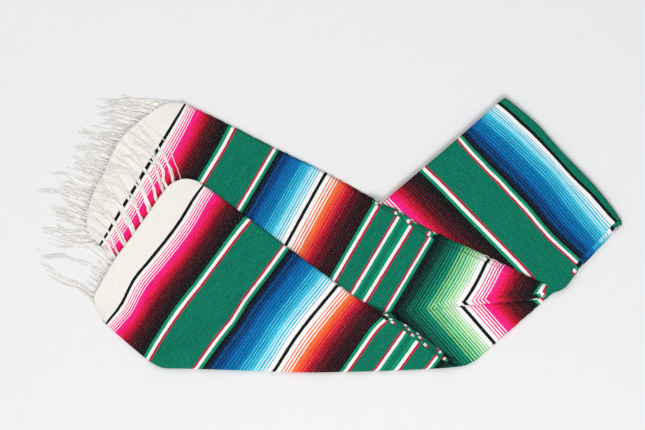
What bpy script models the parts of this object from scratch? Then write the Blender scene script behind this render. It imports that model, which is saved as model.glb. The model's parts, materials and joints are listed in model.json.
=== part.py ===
"""A striped serape, folded to a strip, doubled and turned, lying flat.

The cloth is one woven panel. It is folded twice along its length into a strip of four
plies. The strip is doubled at its middle, the far fold, and both halves are then turned
over at the lower right, so that both fringed ends lie side by side at the left.

From the floor up the strip passes through four runs:
under run -> far fold -> turned run -> chevron fold -> back run, and the front run, which
comes up from the under run round the bottom fold and lies on top.

Each visible stretch of the top ply is a wall of its own. All plies below share one solid,
stepped at the selvedges. Units in the tables are millimetres, seen from above, +Y away.
"""

import math
from dataclasses import dataclass, field

import bmesh
import bpy
from mathutils import Vector
from mathutils.geometry import delaunay_2d_cdt

# ---------------------------------------------------------------- driving sizes (mm)

MM = 0.001
PLY = 1.3                 # thickness of one ply of the cloth
SEAM = 0.3                # air between two pieces
PITCH = PLY + SEAM        # one ply and the air above it
RUN = 4 * PITCH           # height of the four-ply strip
DRAPE = 40.0              # a run comes down off an edge below it within this distance
LAYOUT_SHIFT = (-3.8, -1.0)   # puts the middle of the whole piece on the origin

GRID = 24.0               # spacing of the points inside a stretch
EDGE_STEP = 34.0          # spacing of the points along an edge
CURVE_STEP = 17.0         # spacing along the rounded woven ends
PLY_LIP = 0.6             # each lower ply stands out this much more at a selvedge
FOLD_RINGS = (0.14, 0.5, 1.0)   # rows of points inside a fold, as parts of its radius
SHOULDER = (2.5, 0.9)     # a crease is rounded over this width, by this depth
RIM = 0.6                 # least thickness at the outermost line of a fold
UNDER_RIM = 0.8           # the same for the solid below
ON_LINE = 0.05            # a point this near to a line is on it
FOOT = 0.25               # the side of a ply comes down within this distance
CLEAR_OF_LINES = 0.45     # grid points stay this part of the grid away from the lines
WELD = 0.001              # points this near are one

# ---------------------------------------------------------------- plan of the runs (mm)

# Folds that two runs share: points (x, y) from the crease side to the selvedge side.
FAR_FOLD = [(336, 263), (364, 241), (398, 211), (444, 160), (501, 101), (535, 60), (558, 27)]
CHEVRON_FOLD = [(-168, -172), (106, -148), (249, -136), (382, -124), (404, -119)]
BOTTOM_FOLD = [(-332, -249), (-320, -253), (-259, -254), (-138, -258), (-47, -261),
               (29, -260), (136, -257), (227, -252), (250, -249)]
BOTTOM_FOLD_TAIL = [(261, -247), (273, -241)]   # the under run's part beyond the front run

# Woven ends: from the selvedge side round to the crease side.
BACK_END = [(-273, 250), (-290, 252), (-309, 251), (-328, 241), (-356, 221), (-389, 192),
            (-411, 158), (-427, 120), (-447, 82), (-459, 41), (-457, 8), (-435, -19)]
FRONT_END = [(-238, 95), (-251, 104), (-272, 108), (-288, 104), (-302, 96), (-323, 71),
             (-339, 47), (-371, 2), (-411, -52), (-435, -94), (-447, -116), (-443, -134),
             (-424, -169)]

# Selvedge sides: x, y, step = how far the plies below stand out there.
BACK_SELVEDGE = [(-273, 250, 0), (-183, 205, 0), (-6, 117, 1), (47, 86, 4), (93, 57, 9),
                 (133, 36, 10), (157, 18, 12), (193, -3, 13), (250, -26, 10), (300, -53, 7),
                 (354, -74, 5), (404, -100, 2), (404, -119, 0)]
FRONT_SELVEDGE = [(-238, 95, 0), (-150, 30, 0), (-82, -21, 0), (17, -94, 1), (71, -130, 4),
                  (108, -158, 11), (145, -182, 13), (170, -201, 14), (207, -228, 13),
                  (227, -240, 8), (250, -249, 0)]
TURNED_SELVEDGE = [(558, 27, 0), (519, -15, 0), (474, -58, 2), (444, -92, 3),
                   (411, -111, 1), (404, -119, 0)]
UNDER_SELVEDGE = [(558, 27, 0), (522, -18, 0), (477, -62, 2), (445, -96, 3), (411, -117, 1),
                  (390, -135, 0), (360, -164, 0), (316, -203, 0), (290, -227, 0),
                  (273, -241, 0)]

# Crease sides.
BACK_CREASE = [(-435, -19), (-340, -73), (-168, -172)]
FRONT_CREASE = [(-424, -169), (-344, -237), (-332, -249)]
TURNED_CREASE = [(336, 263), (315, 246), (233, 173), (108, 67), (-168, -172)]
UNDER_CREASE = [(336, 263), (315, 246), (233, 173), (108, 67), (-184, -165), (-332, -249)]

# ---------------------------------------------------------------- fringe (mm)

# Guides of the locks, from the selvedge side to the crease side: share = where a lock
# starts along the woven end; then the three places (x, y) that it passes.
BACK_GUIDES = [
    (0.12, (-350, 257), (-387, 259), (-421, 258)),
    (0.20, (-375, 240), (-405, 243), (-437, 241)),
    (0.30, (-398, 219), (-425, 224), (-456, 224)),
    (0.40, (-420, 190), (-447, 197), (-478, 203)),
    (0.50, (-437, 158), (-463, 166), (-491, 176)),
    (0.60, (-452, 126), (-479, 138), (-507, 148)),
    (0.70, (-470, 94), (-500, 107), (-531, 115)),
    (0.80, (-482, 60), (-513, 72), (-546, 82)),
    (0.90, (-484, 20), (-513, 28), (-543, 38)),
    (0.97, (-466, -18), (-498, -14), (-531, -8)),
]
FRONT_GUIDES = [
    (0.11, (-294, 149), (-316, 184), (-347, 214)),
    (0.20, (-322, 127), (-346, 165), (-380, 190)),
    (0.35, (-358, 84), (-385, 117), (-423, 140)),
    (0.50, (-393, 32), (-422, 65), (-460, 88)),
    (0.60, (-417, 2), (-447, 30), (-485, 48)),
    (0.68, (-440, -32), (-474, -14), (-512, -4)),
    (0.75, (-456, -62), (-500, -44), (-546, -30)),
    (0.79, (-464, -80), (-508, -62), (-552, -40)),
    (0.86, (-474, -104), (-514, -86), (-550, -64)),
]
BACK_LOCKS = 40
FRONT_LOCKS = 28
STRIP_GAP = 1.0           # parts the strip from the cloth's end
STRIP_WIDTH = 2.0         # strip that joins the roots of the locks
STRIP_HEIGHT = 4.4
STRIP_LIFT = 0.6          # above what the strip lies on
LOCK = ((0.09, 2.2), (0.31, 2.0), (0.54, 1.8), (0.77, 1.6), (1.0, 1.2))  # share, thickness
NORMAL_REACH = 0.02       # share of the end to each side that gives its direction
LOCK_LIFT = 0.5           # air below a lying lock
LOCK_WAVE = 1.8           # a lock waves to each side by this much
LOCK_OUT = 9.0            # a lock runs straight out of the strip this far
LOCK_LENGTHS = (0.88, 1.0)      # least and greatest length of a lock, as parts of its guides
LENGTH_WAVES = 9.0        # times that the length comes and goes along an end
WAVE_TURN = (2.3, 14.0)   # turn of the wave from ring to ring, and along the end
BACK_FRINGE_TOP = 3.4     # the front locks lie above this where they meet the back ones
BACK_FRINGE_EDGE = (-60.0, -30.0)   # y between which that height comes in
CLOTH_EDGE = (-20.0, -2.0)      # the front locks climb onto the cloth between these insets
SPLIT_ANGLE = 35.0        # faces that meet more sharply than this are shaded apart
ROW_KEPT = 0.97           # a row's point this much of its inset away from every side is kept
MITRE = 0.5               # least cosine by which a corner's offset is divided
PLY_STEPS = (0.85, 0.05)  # share of a selvedge's step at the first ply below, and for each more


# ---------------------------------------------------------------- plane geometry

def smooth_curve(points, step):
    """Points about one step apart on a curve through the given points."""
    rows = [Vector(p) for p in points]
    ends = [2 * rows[0] - rows[1]] + rows + [2 * rows[-1] - rows[-2]]
    curve = []
    for i in range(1, len(ends) - 2):
        p0, p1, p2, p3 = ends[i - 1:i + 3]
        count = max(1, round((p2 - p1).length / step))
        for j in range(count):
            t = j / count
            curve.append(0.5 * (2 * p1 + (p2 - p0) * t
                                + (2 * p0 - 5 * p1 + 4 * p2 - p3) * t ** 2
                                + (3 * p1 - p0 - 3 * p2 + p3) * t ** 3))
    curve.append(rows[-1])
    return curve


def segment_distance(p, a, b):
    """Distance from p to the segment a-b."""
    along = b - a
    share = max(0.0, min(1.0, (p - a).dot(along) / max(along.length_squared, 1e-12)))
    return (p - a - share * along).length


def line_distance(p, line):
    """Distance from p to an open line of points."""
    return min(segment_distance(p, a, b) for a, b in zip(line, line[1:]))


def inside_by(p, loop):
    """Distance from p to a closed loop, positive inside it."""
    inside = False
    nearest = 1e9
    for a, b in zip(loop, loop[1:] + loop[:1]):
        nearest = min(nearest, segment_distance(p, a, b))
        if (a.y > p.y) != (b.y > p.y) and p.x < a.x + (p.y - a.y) * (b.x - a.x) / (b.y - a.y):
            inside = not inside
    return nearest if inside else -nearest


def smoothstep(value):
    """0 below 0, 1 above 1, and a soft rise between."""
    t = max(0.0, min(1.0, value))
    return t * t * (3 - 2 * t)


# ---------------------------------------------------------------- runs of the strip

@dataclass
class Run:
    """One run of the four-ply strip: its outline, clockwise, and what it lies on."""

    name: str
    sides: list                      # (kind, points) round the outline
    below: list = field(default_factory=list)
    above: list = field(default_factory=list)
    fold: list = field(default_factory=list)
    crease: list = field(default_factory=list)

    def __post_init__(self):
        self.corners = []            # (point, kind, step) round the outline
        for kind, points in self.sides:
            step = CURVE_STEP if kind == "end" else EDGE_STEP
            plan = smooth_curve([Vector((p[0], p[1])) for p in points], step)
            rows = [Vector((p[0], p[1])) for p in points]
            steps = [p[2] if len(p) > 2 else 0.0 for p in points]
            for i, point in enumerate(plan[:-1]):
                stand = 0.0 if i == 0 else self.step_at(point, rows, steps)
                self.corners.append((point, "corner" if i == 0 else kind, stand))
            if kind == "fold" and self.below:
                self.fold = plan
            if kind == "crease":
                self.crease = plan
        self.ply_edge = [self.loop(n) for n in range(4)]
        self.foot = self.loop(3, SEAM)
        self.clear = self.loop(3, 2 * SEAM)

    @staticmethod
    def step_at(point, rows, steps):
        """Step of a selvedge at a point, between the rows of its table."""
        best = min(range(len(rows) - 1), key=lambda i: segment_distance(point, rows[i], rows[i + 1]))
        along = rows[best + 1] - rows[best]
        share = max(0.0, min(1.0, (point - rows[best]).dot(along) / along.length_squared))
        return steps[best] + share * (steps[best + 1] - steps[best])

    def loop(self, ply, outset=0.0):
        """Edge of ply 0 (the top one) to 3, moved out by a further outset."""
        count = len(self.corners)
        ring = []
        for i, (point, kind, step) in enumerate(self.corners):
            before = (point - self.corners[i - 1][0]).normalized()
            after = (self.corners[(i + 1) % count][0] - point).normalized()
            out = Vector((-before.y - after.y, before.x + after.x)).normalized()
            square = max(MITRE, out.dot(Vector((-after.y, after.x))))
            lip = 0.0
            if kind == "selvedge" and ply:
                lip = ply * PLY_LIP + step * (PLY_STEPS[0] + PLY_STEPS[1] * ply)
            ring.append(point + out * ((lip + outset) / square))
        return ring

    def base(self, p):
        """Height on which this run lies at p: it drapes over the runs below."""
        return sum(RUN * smoothstep(1 + inside_by(p, run.ply_edge[3]) / DRAPE)
                   for run in self.below)

    def nose(self, p, radius=RUN):
        """Height over the fold's centre line of a round nose of this radius at p."""
        inward = RUN - line_distance(p, self.fold) if self.fold else 0.0
        if inward <= 0.0:
            return radius
        return math.sqrt(max(0.0, radius ** 2 - inward ** 2))

    def shoulder(self, p):
        """How far the rounded crease has come down at p."""
        width, depth = SHOULDER
        share = 1 - line_distance(p, self.crease) / width
        return depth * max(0.0, share) ** 2

    def wall_top(self, p):
        """Top of the wall that is this run's top ply."""
        return self.base(p) + max(RIM, self.nose(p) - self.shoulder(p))

    def wall_bottom(self, p):
        """Underside of that wall."""
        return self.base(p) + self.nose(p, RUN - PLY)

    def layer_top(self, p, ply):
        """Top of what lies under that wall: ply 1 below it, ply 2 and 3 at the edges."""
        return self.base(p) + self.nose(p, RUN - PITCH) - (ply - 1) * PITCH - SEAM * self.on_fold(p)

    def on_fold(self, p):
        """1 on the outermost line of this run's fold, else 0."""
        return 1.0 if self.fold and line_distance(p, self.fold) < ON_LINE else 0.0


def strip_runs():
    """The four runs, from the floor up."""
    chevron = CHEVRON_FOLD[::-1]
    under = Run("under_run", [
        ("crease", UNDER_CREASE[::-1]), ("fold", FAR_FOLD), ("selvedge", UNDER_SELVEDGE),
        ("fold", (BOTTOM_FOLD + BOTTOM_FOLD_TAIL)[::-1])])
    turned = Run("turned_run", [
        ("crease", TURNED_CREASE[::-1]), ("fold", FAR_FOLD), ("selvedge", TURNED_SELVEDGE),
        ("chevron", chevron)], below=[under])
    back = Run("back_run", [
        ("selvedge", BACK_SELVEDGE), ("fold", chevron), ("crease", BACK_CREASE[::-1]),
        ("end", BACK_END[::-1])], below=[under, turned])
    front = Run("front_run", [
        ("selvedge", FRONT_SELVEDGE), ("fold", BOTTOM_FOLD[::-1]),
        ("crease", FRONT_CREASE[::-1]), ("end", FRONT_END[::-1])],
        below=[under, turned, back])
    runs = [under, turned, back, front]
    for rank, run in enumerate(runs):
        run.above = runs[rank + 1:]
    return runs


# ---------------------------------------------------------------- plan of points

def plan_lines(runs):
    """Lines that the triangles follow: ply edges, seams, and rows inside the folds."""
    lines = []
    for run in runs:
        hidden = [upper.loop(3, -GRID / 2) for upper in run.above]

        def shown(p):
            return all(inside_by(p, loop) < 0.0 for loop in hidden)

        rings = [run.ply_edge[n] for n in range(4)]
        rings += [run.loop(n, FOOT) for n in (1, 2)] + [run.foot, run.clear]
        for ring in rings:
            lines += [(a, b) for a, b in zip(ring, ring[1:] + ring[:1]) if shown(a) or shown(b)]
        rows = [(run.fold, [RUN * share for share in FOLD_RINGS])] if run.fold else []
        rows.append((run.crease, [SHOULDER[0]]))
        for side, insets in rows:
            for inset in insets:
                row = inner_row(side, run.ply_edge[0], inset)
                lines += [(a, b) for a, b in zip(row, row[1:]) if shown(a) or shown(b)]
    return lines


def inner_row(side, outline, inset):
    """The points of a side moved into the outline, without those near another side."""
    row = []
    for i in range(1, len(side) - 1):
        along = (side[i + 1] - side[i - 1]).normalized()
        for across in (Vector((-along.y, along.x)), Vector((along.y, -along.x))):
            point = side[i] + across * inset
            if inside_by(point, outline) > ROW_KEPT * inset:
                row.append(point)
    return row


def grid_points(runs, lines):
    """A triangular grid over the runs, clear of the lines."""
    loops = [run.ply_edge[0] for run in runs]
    xs = [p.x for loop in loops for p in loop]
    ys = [p.y for loop in loops for p in loop]
    points = []
    row_height = GRID * math.sqrt(0.75)
    for j in range(int((max(ys) - min(ys)) / row_height) + 1):
        for i in range(int((max(xs) - min(xs)) / GRID) + 1):
            p = Vector((min(xs) + (i + 0.5 * (j % 2)) * GRID, min(ys) + j * row_height))
            if not any(inside_by(p, loop) > 0.0 for loop in loops):
                continue
            if all(segment_distance(p, a, b) > CLEAR_OF_LINES * GRID for a, b in lines):
                points.append(p)
    return points


def triangulate(points, edges, only_inside):
    """Triangles through points that keep the given edges: points, triangles, origins."""
    result = delaunay_2d_cdt(points, edges, [], 1 if only_inside else 0, WELD)
    return result[0], [tuple(face) for face in result[2]], result[3]


def plan_triangles(runs):
    """The whole plan in triangles: points and (corner, corner, corner, centre)."""
    lines = plan_lines(runs)
    points = []
    edges = []
    numbers = {}
    for a, b in lines:
        ends = []
        for p in (a, b):
            key = (round(p.x, 3), round(p.y, 3))
            if key not in numbers:
                numbers[key] = len(points)
                points.append(p)
            ends.append(numbers[key])
        if ends[0] != ends[1]:
            edges.append(tuple(ends))
    points += grid_points(runs, lines)
    points, faces, _ = triangulate(points, edges, False)
    return points, [(face, (points[face[0]] + points[face[1]] + points[face[2]]) / 3)
                    for face in faces]


# ---------------------------------------------------------------- solids

def boundary_edges(faces):
    """Directed edges that only one face uses."""
    used = {(a, b) for face in faces for a, b in zip(face, face[1:] + face[:1])}
    return [(a, b) for a, b in used if (b, a) not in used]


def largest_part(faces):
    """The faces of the largest region that hangs together along edges."""
    by_edge = {}
    for number, face in enumerate(faces):
        for a, b in zip(face, face[1:] + face[:1]):
            by_edge[(a, b)] = number
    left = set(range(len(faces)))
    best = []
    while left:
        part = [left.pop()]
        for number in part:
            face = faces[number]
            for a, b in zip(face, face[1:] + face[:1]):
                other = by_edge.get((b, a))
                if other in left:
                    left.remove(other)
                    part.append(other)
        if len(part) > len(best):
            best = part
    return [faces[number] for number in best]


def mesh_object(name, bm, color):
    """Finish a mesh as an object with its own cloth material."""
    mesh = bpy.data.meshes.new(name)
    bm.to_mesh(mesh)
    bm.free()
    obj = bpy.data.objects.new(name, mesh)
    bpy.context.scene.collection.objects.link(obj)
    material = bpy.data.materials.new(name)
    material.use_nodes = True
    shader = material.node_tree.nodes["Principled BSDF"]
    shader.inputs["Base Color"].default_value = (*color, 1.0)
    shader.inputs["Roughness"].default_value = 0.9
    shader.inputs["Metallic"].default_value = 0.0
    mesh.materials.append(material)
    mesh.shade_smooth()
    mesh.set_sharp_from_angle(angle=math.radians(SPLIT_ANGLE))
    return obj


def place(p, height):
    """A point of the plan at a height, in metres."""
    return Vector((p.x + LAYOUT_SHIFT[0], p.y + LAYOUT_SHIFT[1], height)) * MM


def slab(name, points, faces, top, bottom, color, under=None):
    """A closed body over part of the plan, between two heights.

    under, if given, makes the underside from the rim's point numbers and edges; it
    returns points, faces, and for each point its place in the rim or None.
    """
    bm = bmesh.new()
    used = sorted({number for face in faces for number in face})
    upper = {n: bm.verts.new(place(points[n], top(points[n]))) for n in used}
    for a, b, c in faces:
        bm.faces.new((upper[a], upper[b], upper[c]))
    border = boundary_edges(faces)
    if under is None:
        lower = {n: bm.verts.new(place(points[n], bottom(points[n]))) for n in used}
        for a, b, c in faces:
            bm.faces.new((lower[c], lower[b], lower[a]))
    else:
        rim = sorted({n for edge in border for n in edge})
        base_points, base_faces, origins = under(rim, border)
        ground = [bm.verts.new(place(p, bottom(p))) for p in base_points]
        for a, b, c in base_faces:
            bm.faces.new((ground[c], ground[b], ground[a]))
        lower = {rim[i]: vert for vert, ids in zip(ground, origins) for i in ids if i < len(rim)}
    for a, b in border:
        bm.faces.new((upper[b], upper[a], lower[a], lower[b]))
    return mesh_object(name, bm, color)


def wall(run, points, triangles, color):
    """The stretch of a run's top ply that shows."""
    faces = [face for face, centre in triangles
             if inside_by(centre, run.ply_edge[0]) > 0.0
             and all(inside_by(centre, upper.clear) < 0.0 for upper in run.above)]
    return slab(run.name, points, largest_part(faces), run.wall_top, run.wall_bottom, color)


def hidden_layers(runs, points, triangles, color):
    """Every ply under the visible walls, one solid stepped at the selvedges."""
    faces = largest_part([face for face, centre in triangles
                          if any(inside_by(centre, run.ply_edge[3]) > 0.0 for run in runs)])
    rolled = [smooth_curve([Vector(p) for p in line], EDGE_STEP)
              for line in (FAR_FOLD, BOTTOM_FOLD)]

    def top(p):
        for run in reversed(runs):
            for ply in (1, 2, 3):
                if inside_by(p, run.ply_edge[ply]) > -ON_LINE:
                    return run.layer_top(p, ply)
        return PITCH

    def bottom(p):
        inward = RUN - min(line_distance(p, line) for line in rolled)
        if inward <= 0.0:
            return 0.0
        rise = RUN - math.sqrt(max(0.0, RUN ** 2 - inward ** 2))
        return min(rise, top(p) - UNDER_RIM)

    def under(rim, border):
        number = {n: i for i, n in enumerate(rim)}
        base = [points[n] for n in rim]
        edges = [(number[a], number[b]) for a, b in border]
        outline = runs[0].ply_edge[3]
        for line in rolled:
            for share in FOLD_RINGS:
                row = inner_row(line, outline, RUN * share)
                start = len(base)
                base += row
                edges += [(i, i + 1) for i in range(start, start + len(row) - 1)]
        return triangulate(base, edges, True)

    return slab("hidden_layers", points, faces, top, bottom, color, under)


# ---------------------------------------------------------------- fringe

def along_line(line, share):
    """The point at a share of a line's length, and the line's direction there."""
    lengths = [(b - a).length for a, b in zip(line, line[1:])]
    left = share * sum(lengths)
    for (a, b), length in zip(zip(line, line[1:]), lengths):
        if left <= length or b is line[-1]:
            return a + (b - a) * (left / length), (b - a).normalized()
        left -= length
    return line[-1], (line[-1] - line[-2]).normalized()


def outward(line, share):
    """Unit vector out of a woven end, square to it, at a share of its length."""
    ahead, _ = along_line(line, share + NORMAL_REACH)
    behind, _ = along_line(line, share - NORMAL_REACH)
    along = (ahead - behind).normalized()
    return Vector((along.y, -along.x))


def guide_at(guides, share):
    """The three places that a lock passes, between the two guides beside it."""
    before = max((g for g in guides if g[0] <= share), default=guides[0], key=lambda g: g[0])
    after = min((g for g in guides if g[0] > share), default=guides[-1], key=lambda g: g[0])
    part = (share - before[0]) / (after[0] - before[0]) if after[0] > before[0] else 0.0
    return [Vector(p).lerp(Vector(q), part) for p, q in zip(before[1:], after[1:])]


def lock_path(root, out, guides, share):
    """Plan of one lock: out of the strip, along its guides, gently waved."""
    rows = [root, root + out * LOCK_OUT] + guide_at(guides, share)
    curve = smooth_curve(rows, 1.0)
    path = [root]
    shortest, longest = LOCK_LENGTHS
    swing = 0.5 + 0.5 * math.sin(LENGTH_WAVES * share * math.tau)
    length = shortest + (longest - shortest) * swing
    for i, (part, _) in enumerate(LOCK, 1):
        point, along = along_line(curve, part * length)
        turn = WAVE_TURN[0] * i + WAVE_TURN[1] * share
        wave = LOCK_WAVE * math.sin(turn) * min(1.0, i / 2)
        path.append(point + Vector((-along.y, along.x)) * wave)
    return path


def fringe(name, end, base, support, guides, count, color):
    """One end's fringe: a narrow strip with the locks standing out of its side."""
    bm = bmesh.new()
    cells = 2 * count + 1
    first, last = guides[0][0], guides[-1][0]
    outer = STRIP_GAP + STRIP_WIDTH
    rows = []
    for i in range(cells + 1):
        share = first + (last - first) * i / cells
        point, _ = along_line(end, share)
        out = outward(end, share)
        low = base(point) + STRIP_LIFT
        section = []
        for outset, height in ((STRIP_GAP, low), (STRIP_GAP, low + STRIP_HEIGHT),
                               (outer, low + STRIP_HEIGHT), (outer, low)):
            section.append(bm.verts.new(place(point + out * outset, height)))
        rows.append((section, point, out, low))
    for (a, *_), (b, *_) in zip(rows, rows[1:]):
        for k in (0, 1, 3):
            bm.faces.new((a[k], a[(k + 1) % 4], b[(k + 1) % 4], b[k]))
    bm.faces.new(rows[0][0][::-1])
    bm.faces.new(rows[-1][0])
    for i, ((a, *_), (b, *_)) in enumerate(zip(rows, rows[1:])):
        ring = [a[2], a[3], b[3], b[2]]
        if i % 2 == 0:
            bm.faces.new(ring)
            continue
        low = rows[i][3]
        middle = (rows[i][1] + rows[i + 1][1]) / 2
        out = (rows[i][2] + rows[i + 1][2]).normalized()
        share = first + (last - first) * (i + 0.5) / cells
        path = lock_path(middle + out * outer, out, guides, share)
        grow_lock(bm, ring, path, low, support)
    bmesh.ops.recalc_face_normals(bm, faces=bm.faces)
    return mesh_object(name, bm, color)


def grow_lock(bm, ring, path, low, support):
    """A four-sided lock from a face's corners along a path, ending in a blunt tip."""
    for step, (_, size) in enumerate(LOCK, 1):
        centre = path[step]
        along = (path[min(step + 1, len(path) - 1)] - path[step - 1]).normalized()
        side = Vector((along.y, -along.x)) * (size / 2)
        ahead = path[min(step + 1, len(path) - 1)]
        passed = [path[step - 1].lerp(centre, t) for t in (0.0, 0.25, 0.5, 0.75)]
        passed += [centre.lerp(ahead, t) for t in (0.0, 0.25, 0.5, 0.75)]
        lift = max(support(p) for p in passed) + LOCK_LIFT
        height = max(lift, low) if step == 1 else lift
        corners = ((-1, size), (-1, 0.0), (1, 0.0), (1, size))
        next_ring = [bm.verts.new(place(centre - side * s, height + up)) for s, up in corners]
        for k in range(4):
            bm.faces.new((ring[k], ring[(k + 1) % 4], next_ring[(k + 1) % 4], next_ring[k]))
        ring = next_ring
    bm.faces.new(ring)


# ---------------------------------------------------------------- the whole piece

COLORS = {
    "under_run": (0.30, 0.62, 0.25), "turned_run": (0.01, 0.19, 0.11),
    "back_run": (0.04, 0.25, 0.50), "front_run": (0.80, 0.05, 0.25),
    "hidden_layers": (0.02, 0.16, 0.10), "fringe": (0.86, 0.83, 0.76),
}


def clear_scene():
    """Remove every object of the scene."""
    for obj in list(bpy.data.objects):
        bpy.data.objects.remove(obj, do_unlink=True)


def build():
    """Build every node."""
    clear_scene()
    runs = strip_runs()
    under, turned, back, front = runs
    points, triangles = plan_triangles(runs)
    for run in runs:
        wall(run, points, triangles, COLORS[run.name])
    hidden_layers(runs, points, triangles, COLORS["hidden_layers"])

    def ground(_):
        return 0.0

    def over_back(p):
        """What the front locks lie on: the back run, then the back locks."""
        beyond = inside_by(p, back.ply_edge[3])
        cloth = RUN * smoothstep((beyond - CLOTH_EDGE[0]) / (CLOTH_EDGE[1] - CLOTH_EDGE[0]))
        low, high = BACK_FRINGE_EDGE
        locks = BACK_FRINGE_TOP * smoothstep((p.y - low) / (high - low))
        return max(cloth, locks)

    back_end = smooth_curve([Vector(p) for p in BACK_END], CURVE_STEP)
    front_end = smooth_curve([Vector(p) for p in FRONT_END], CURVE_STEP)
    fringe("back_fringe", back_end, ground, ground, BACK_GUIDES, BACK_LOCKS, COLORS["fringe"])
    fringe("front_fringe", front_end, front.base, over_back, FRONT_GUIDES, FRONT_LOCKS,
           COLORS["fringe"])


build()
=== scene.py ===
"""Looks of a striped serape, folded to a strip, doubled and turned, lying flat.

The cloth is one weft-faced panel in four plies. Each of the four runs of the strip is
built ply by ply on a grid in the cloth's own measures: how far along the cloth, and how
far in from the selvedge. A chart of yarns, from the woven end to the middle, colours it.
Plan tables are millimetres, seen from above, +Y away from the bottom fold.
"""

import json
import logging
import math
import random
from dataclasses import dataclass, field
from enum import Enum

import bmesh
import bpy
import numpy as np
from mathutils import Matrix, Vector

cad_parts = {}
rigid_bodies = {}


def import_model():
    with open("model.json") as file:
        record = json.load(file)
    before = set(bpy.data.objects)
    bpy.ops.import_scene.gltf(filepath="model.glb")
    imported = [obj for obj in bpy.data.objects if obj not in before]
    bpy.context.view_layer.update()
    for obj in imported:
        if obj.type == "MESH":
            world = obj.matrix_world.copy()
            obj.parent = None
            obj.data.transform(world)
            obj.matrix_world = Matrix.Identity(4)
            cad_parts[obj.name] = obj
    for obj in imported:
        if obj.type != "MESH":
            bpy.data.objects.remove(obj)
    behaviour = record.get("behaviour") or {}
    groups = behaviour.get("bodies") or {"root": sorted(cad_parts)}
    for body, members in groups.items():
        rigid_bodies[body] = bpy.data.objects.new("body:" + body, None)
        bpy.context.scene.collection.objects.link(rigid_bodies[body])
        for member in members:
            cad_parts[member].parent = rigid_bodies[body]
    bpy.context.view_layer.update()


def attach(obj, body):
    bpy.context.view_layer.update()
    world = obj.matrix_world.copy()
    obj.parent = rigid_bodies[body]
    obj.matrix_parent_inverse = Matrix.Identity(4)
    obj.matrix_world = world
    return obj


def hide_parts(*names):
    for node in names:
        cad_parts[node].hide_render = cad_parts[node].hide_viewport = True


LOG = logging.getLogger("serape")

# ---------------------------------------------------------------- sizes (mm)

MM = 0.001
PLY = 1.3                 # thickness of one ply of the cloth
PITCH = 1.6               # one ply and the air above it
PLIES = 4
RUN = PLIES * PITCH       # height of the four-ply strip
PRESSED = 0.41 * RUN      # thickness of the chevron's fold, which the strip presses flat
PRESS_REACH = 32.0        # a pressed fold thickens to the whole run within this distance
STRIP_WIDTH = 322.0       # the strip, from selvedge to crease
CREAM_END = 60.0          # plain end of the cloth, to the middle of the first black line
DRAPE = 40.0              # a run comes down off an edge below it within this distance
TAIL_START = 234.0        # x from which the bottom fold has no ply turned round it
TAIL_RISE = 14.0          # the run below has its whole tail this far on
FOLD_GAP = 0.5            # a run stops this far past the middle of another run's fold
LAP = 30.0                # a ply goes on this far under the run that covers it
SEEN_BELOW = 12.0         # the top ply's edge at the crease, seen from below under a lap too
FLOOR_GAP = 0.15          # the lowest ply is this far off the floor
CREASE_RADIUS = RUN / 2 - FLOOR_GAP   # the top ply turns round it to become the lowest
CREASE_STEP = 0.5         # each ply stops this much further in from the crease
FLAP = 30.0               # the top ply goes on this far below, round the crease
FLAP_LAP = 0.5            # the lowest ply runs this far over the flap's edge
FLAP_START = -6.0         # outside this, towards the woven end, there is no flap
EDGE_START = 20.0         # selvedges begin to stray within this far of the black line
EDGE_REACH = 9.0          # the top ply's stray selvedge reaches this far in
EDGE_WAVES = ((0.45, 1.19, 0.0), (0.35, 0.83, 1.0))   # its waves: height, pace, start
RAGGED = 0.4              # height of each wave of the lower selvedges
RAGGED_WAVES = ((3.1, 1), (7.7, 2))   # their lengths, and how far each ply's are moved
ROLL_LEAST = 0.4          # plies nearer to a fold's middle than this end there
ROLL_LAP = 0.3            # others go on round it this far past half a turn, in radians
LAYOUT_SHIFT = (-3.8, -1.0)   # puts the middle of the whole piece on the origin
END_STEP, STATION_STEP, RELIEF_STEP, FOLD_STEP, RING_STEP = 4.0, 8.0, 10.0, 12.0, 20.0
FAR, TINY = 1e9, 1e-9

Array = np.ndarray
Color = tuple[float, float, float]
Line = list[tuple[float, float]]
Point = tuple[float, float]
Socket = bpy.types.NodeSocket

# Folds that two runs share, from the crease side to the selvedge side.
FAR_FOLD: Line = [(336, 263), (364, 241), (398, 211), (444, 160), (501, 101), (535, 60), (558, 27)]
CHEVRON_FOLD: Line = [(-168, -172), (106, -148), (249, -136), (382, -124), (404, -119)]
CHEVRON_FOLD_TAIL: Line = [(410, -122), (417, -140)]
BOTTOM_FOLD: Line = [(-332, -249), (-320, -253), (-259, -254), (-138, -258), (-47, -261),
                     (29, -260), (136, -257), (227, -252), (250, -249)]
BOTTOM_FOLD_TAIL: Line = [(261, -247), (273, -241)]

# Woven ends, from the selvedge side round to the crease side.
BACK_END: Line = [(-275, 251), (-290, 252), (-309, 251), (-328, 241), (-356, 221), (-389, 192),
                  (-411, 158), (-427, 120), (-447, 82), (-459, 41), (-457, 8), (-437, -17)]
FRONT_END: Line = [(-240, 96), (-251, 104), (-272, 108), (-288, 104), (-302, 96), (-323, 71),
                   (-339, 47), (-371, 2), (-411, -52), (-435, -94), (-447, -116), (-443, -134),
                   (-426, -167)]

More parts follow.
